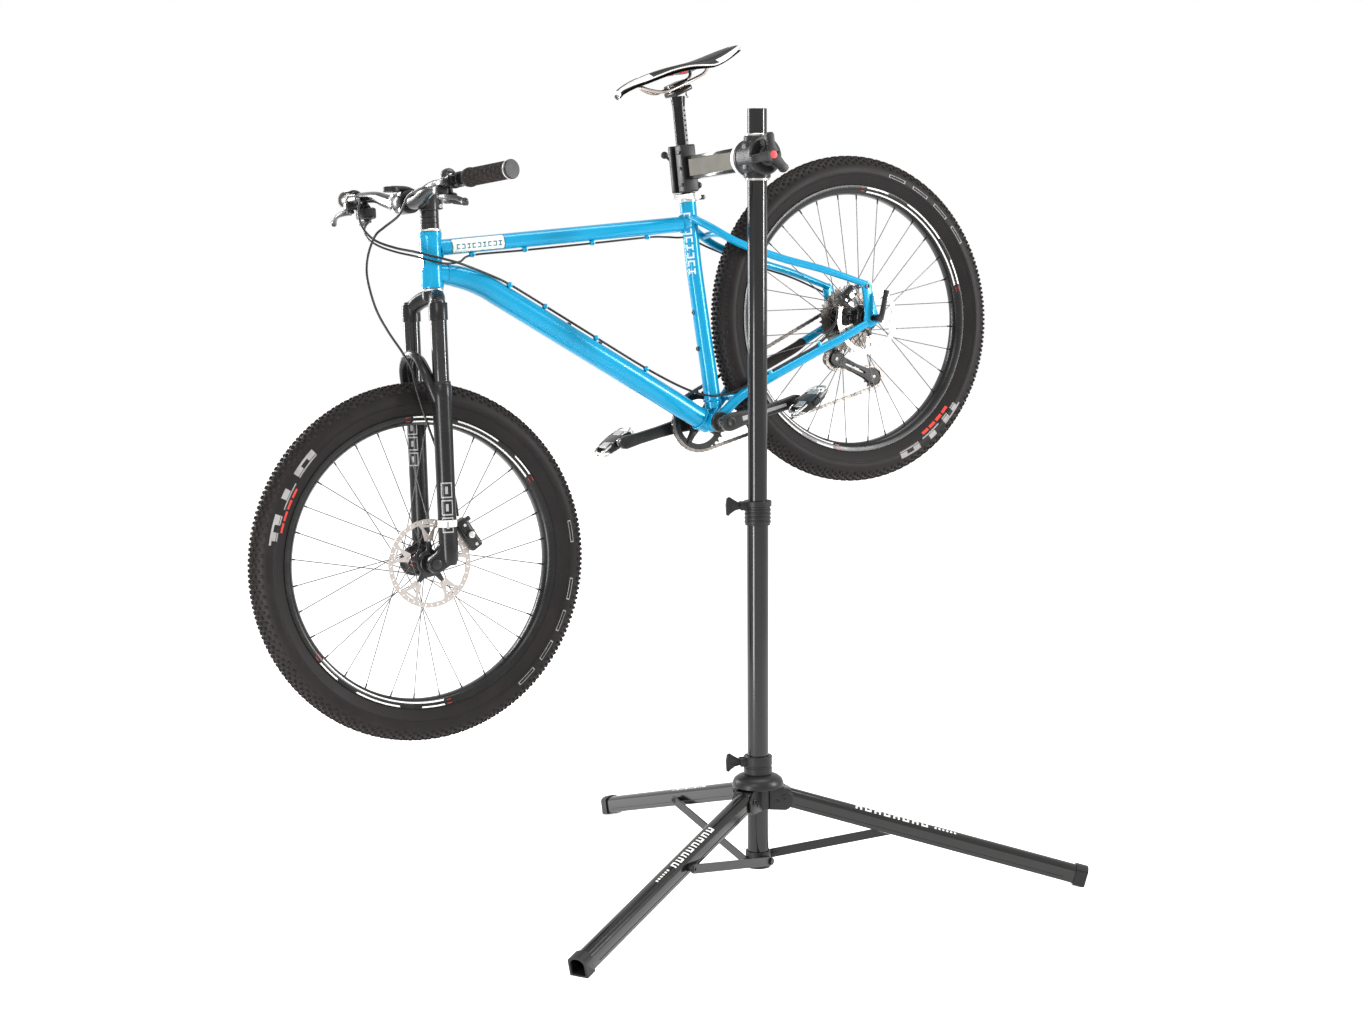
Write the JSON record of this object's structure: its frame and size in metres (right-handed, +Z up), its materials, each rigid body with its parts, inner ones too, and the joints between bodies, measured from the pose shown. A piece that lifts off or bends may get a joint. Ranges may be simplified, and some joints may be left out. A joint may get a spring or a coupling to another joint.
{
  "type": "bicycle on stand",
  "caption": "Mountain bicycle with front suspension and disc brakes, held by its seatpost in the side clamp of a folding tripod repair stand.",
  "frame": {"origin": "on the floor, on the axis of the stand's post", "axes": "+Z up along the post; the bicycle points along -X and hangs on the post's +Y side, drive side outward"},
  "size_m": [1.7985, 1.0832, 1.7699],
  "materials": {
    "stand_black": "gloss",
    "black_plastic": "satin",
    "strut_metal": "satin",
    "clamp_metal": "satin",
    "frame_paint": "gloss metallic blue",
    "fork_black": "gloss",
    "black_alloy": "anodised black",
    "grip_rubber": "matte",
    "control_black": "satin",
    "lever_alloy": "satin",
    "tyre_rubber": "matte, browned by soil",
    "rim_black": "anodised black",
    "hub_black": "anodised black",
    "rotor_steel": "brushed",
    "caliper_black": "satin black",
    "cassette_steel": "satin",
    "chain_steel": "satin",
    "crank_black": "satin black",
    "pedal_alloy": "satin",
    "saddle_cover": "smooth",
    "rail_alloy": "satin",
    "derailleur_black": "satin black",
    "hose_black": "gloss"
  },
  "bodies": {
    "stand_base": {"lower_post": "stand_black", "strut_base": "black_plastic", "height_clamp": "black_plastic"},
    "height_clamp_knob": {"height_clamp_knob": "black_plastic"},
    "leg_collar": {"leg_collar": "black_plastic"},
    "leg_collar_knob": {"leg_collar_knob": "black_plastic"},
    "leg_1": {"leg_1": "stand_black", "foot_cap_1": "black_plastic"},
    "leg_2": {"leg_2": "stand_black", "foot_cap_2": "black_plastic"},
    "leg_3": {"leg_3": "stand_black", "foot_cap_3": "black_plastic"},
    "strut_1": {"strut_1": "strut_metal"},
    "strut_2": {"strut_2": "strut_metal"},
    "strut_3": {"strut_3": "strut_metal"},
    "mast": {"upper_post": "stand_black", "head_housing": "black_plastic"},
    "head_knob": {"head_knob": "black_plastic"},
    "arm": {"clamp_arm": "stand_black", "clamp_body": "clamp_metal", "seatpost": "black_alloy", "saddle": "saddle_cover", "saddle_rails": "rail_alloy"},
    "jaw": {"clamp_jaw": "clamp_metal"},
    "toggle": {"clamp_knob": "black_plastic"},
    "bicycle_frame": {"frame": "frame_paint", "rear_caliper": "caliper_black", "derailleur_body": "derailleur_black", "rear_brake_hose": "hose_black", "shift_cable": "hose_black", "chain": "chain_steel"},
    "rear_wheel": {"rear_tyre": "tyre_rubber", "rear_rim": "rim_black", "rear_hub": "hub_black", "rear_rotor": "rotor_steel"},
    "cassette": {"cassette": "cassette_steel"},
    "cranks": {"right_crank": "crank_black", "left_crank": "crank_black"},
    "left_pedal": {"left_pedal": "pedal_alloy"},
    "right_pedal": {"right_pedal": "pedal_alloy"},
    "derailleur_cage": {"derailleur_cage": "derailleur_black"},
    "jockey_upper": {"jockey_upper": "black_plastic"},
    "jockey_lower": {"jockey_lower": "black_plastic"},
    "front_end": {"fork_upper": "fork_black", "stem": "black_alloy", "handlebar": "black_alloy", "left_grip": "grip_rubber", "right_grip": "grip_rubber", "left_brake_body": "control_black", "right_brake_body": "control_black", "front_brake_hose": "hose_black"},
    "left_lever": {"left_brake_lever": "lever_alloy"},
    "right_lever": {"right_brake_lever": "lever_alloy"},
    "shifter_lever": {"shifter_lever": "control_black"},
    "fork_lower": {"fork_lower": "fork_black", "front_caliper": "caliper_black"},
    "front_wheel": {"front_tyre": "tyre_rubber", "front_rim": "rim_black", "front_hub": "hub_black", "front_rotor": "rotor_steel"}
  },
  "joints": [
    {"name": "collar_slide", "type": "slide", "parent": "stand_base", "child": "leg_collar", "axis": [0, 0, 1], "range_m": [0, 0.397]},
    {"name": "leg_1_fold", "type": "hinge", "parent": "leg_collar", "child": "leg_1", "pos_m": [-0.04907, -0.02698, 0.195], "axis": [0.4818, -0.8763, 0], "range_deg": [0, 70.2]},
    {"name": "strut_1_fold", "type": "hinge", "parent": "stand_base", "child": "strut_1", "pos_m": [0.01407, -0.02559, 0.056], "axis": [0.4818, -0.8763, 0], "range_deg": [-71.2, 0]},
    {"name": "leg_2_fold", "type": "hinge", "parent": "leg_collar", "child": "leg_2", "pos_m": [0.0479, -0.02901, 0.195], "axis": [0.518, 0.8554, 0], "range_deg": [0, 70.2]},
    {"name": "strut_2_fold", "type": "hinge", "parent": "stand_base", "child": "strut_2", "pos_m": [0.01513, 0.02498, 0.056], "axis": [0.518, 0.8554, 0], "range_deg": [-71.2, 0]},
    {"name": "leg_3_fold", "type": "hinge", "parent": "leg_collar", "child": "leg_3", "pos_m": [0.00117, 0.05599, 0.195], "axis": [-0.9998, 0.0209, 0], "range_deg": [0, 70.2]},
    {"name": "strut_3_fold", "type": "hinge", "parent": "stand_base", "child": "strut_3", "pos_m": [-0.02919, 0.00061, 0.056], "axis": [-0.9998, 0.0209, 0], "range_deg": [-71.2, 0]},
    {"name": "leg_collar_knob_turn", "type": "hinge", "parent": "leg_collar", "child": "leg_collar_knob", "pos_m": [-0.04135, 0.01505, 0.2685], "axis": [-0.9397, 0.342, 0], "range_deg": [0, 360]},
    {"name": "height_knob_turn", "type": "hinge", "parent": "stand_base", "child": "height_clamp_knob", "pos_m": [-0.04013, 0.0146, 0.81], "axis": [-0.9397, 0.342, 0], "range_deg": [0, 360]},
    {"name": "post_slide", "type": "slide", "parent": "stand_base", "child": "mast", "axis": [0, 0, 1], "range_m": [-0.15, 0.25]},
    {"name": "head_knob_turn", "type": "hinge", "parent": "mast", "child": "head_knob", "pos_m": [0, -0.03424, 1.52572], "axis": [0, 0.9983, -0.059], "range_deg": [0, 360]},
    {"name": "arm_turn", "type": "hinge", "parent": "mast", "child": "arm", "pos_m": [0, 0, 1.5237], "axis": [0, 0.9983, -0.059], "range_deg": [-15, 75]},
    {"name": "jaw_slide", "type": "slide", "parent": "arm", "child": "jaw", "axis": [0, 0.9983, -0.059], "range_m": [0, 0.02]},
    {"name": "toggle_turn", "type": "hinge", "parent": "jaw", "child": "toggle", "pos_m": [0.02494, 0.3494, 1.50484], "axis": [0, 0.9983, -0.059], "range_deg": [0, 1441]},
    {"name": "seatpost_height", "type": "slide", "parent": "arm", "child": "bicycle_frame", "axis": [0.0708, -0.0588, -0.9958], "range_m": [0, 0.06]},
    {"name": "rear_wheel_spin", "type": "hinge", "parent": "bicycle_frame", "child": "rear_wheel", "pos_m": [0.42243, 0.27353, 1.17517], "axis": [0, 0.9983, -0.059], "continuous": true},
    {"name": "crank_spin", "type": "hinge", "parent": "bicycle_frame", "child": "cranks", "pos_m": [0.04338, 0.26099, 0.96283], "axis": [0, 0.9983, -0.059], "continuous": true},
    {"name": "cassette_spin", "type": "hinge", "parent": "bicycle_frame", "child": "cassette", "pos_m": [0.42243, 0.27353, 1.17517], "axis": [0, 0.9983, -0.059], "continuous": true},
    {"name": "left_pedal_spin", "type": "hinge", "parent": "cranks", "child": "left_pedal", "pos_m": [0.2142, 0.1654, 1.00654], "axis": [0, 0.9983, -0.059], "continuous": true},
    {"name": "right_pedal_spin", "type": "hinge", "parent": "cranks", "child": "right_pedal", "pos_m": [-0.12745, 0.35658, 0.91913], "axis": [0, 0.9983, -0.059], "continuous": true},
    {"name": "cage_swing", "type": "hinge", "parent": "bicycle_frame", "child": "derailleur_cage", "pos_m": [0.40694, 0.31772, 1.08383], "axis": [0, 0.9983, -0.059], "range_deg": [-15, 20], "stiffness_Nm_per_rad": 3, "deforming": ["chain"]},
    {"name": "jockey_upper_spin", "type": "hinge", "parent": "derailleur_cage", "child": "jockey_upper", "pos_m": [0.40694, 0.31772, 1.08383], "axis": [0, 0.9983, -0.059], "continuous": true},
    {"name": "jockey_lower_spin", "type": "hinge", "parent": "derailleur_cage", "child": "jockey_lower", "pos_m": [0.50881, 0.31511, 1.03963], "axis": [0, 0.9983, -0.059], "continuous": true},
    {"name": "steering", "type": "hinge", "parent": "bicycle_frame", "child": "front_end", "pos_m": [-0.59967, 0.27874, 1.26347], "axis": [-0.0007, 0.059, 0.9983], "range_deg": [-45, 45], "deforming": ["rear_brake_hose", "shift_cable"]},
    {"name": "fork_travel", "type": "slide", "parent": "front_end", "child": "fork_lower", "axis": [-0.0007, 0.059, 0.9983], "range_m": [0, 0.1], "stiffness_N_per_m": 6000, "springref_m": -0.02, "deforming": ["front_brake_hose"]},
    {"name": "front_wheel_spin", "type": "hinge", "parent": "fork_lower", "child": "front_wheel", "pos_m": [-0.65178, 0.24621, 0.71269], "axis": [0, 0.9983, -0.059], "continuous": true},
    {"name": "left_lever_pull", "type": "hinge", "parent": "front_end", "child": "left_lever", "pos_m": [-0.67615, 0.05945, 1.44471], "axis": [-0.0007, 0.059, 0.9983], "range_deg": [0, 18], "stiffness_Nm_per_rad": 1.2, "springref_deg": -17.19},
    {"name": "right_lever_pull", "type": "hinge", "parent": "front_end", "child": "right_lever", "pos_m": [-0.67615, 0.51784, 1.41764], "axis": [0.0007, -0.059, -0.9983], "range_deg": [0, 18], "stiffness_Nm_per_rad": 1.2, "springref_deg": -17.19},
    {"name": "shifter_push", "type": "hinge", "parent": "front_end", "child": "shifter_lever", "pos_m": [-0.64314, 0.5067, 1.39869], "axis": [-0.0007, 0.059, 0.9983], "range_deg": [0, 22], "stiffness_Nm_per_rad": 0.4, "springref_deg": -17.19}
  ],
  "couplings": [
    {"joint": "leg_1_fold", "follows": "collar_slide", "rad_per_m": 3.0774},
    {"joint": "strut_1_fold", "follows": "collar_slide", "rad_per_m": -3.1214},
    {"joint": "leg_2_fold", "follows": "collar_slide", "rad_per_m": 3.0774},
    {"joint": "strut_2_fold", "follows": "collar_slide", "rad_per_m": -3.1214},
    {"joint": "leg_3_fold", "follows": "collar_slide", "rad_per_m": 3.0774},
    {"joint": "strut_3_fold", "follows": "collar_slide", "rad_per_m": -3.1214},
    {"joint": "toggle_turn", "follows": "jaw_slide", "rad_per_m": 1256.6},
    {"joint": "cassette_spin", "follows": "crank_spin", "ratio": 2},
    {"joint": "jockey_upper_spin", "follows": "crank_spin", "ratio": -2.6667},
    {"joint": "jockey_lower_spin", "follows": "crank_spin", "ratio": 2.6667}
  ]
}
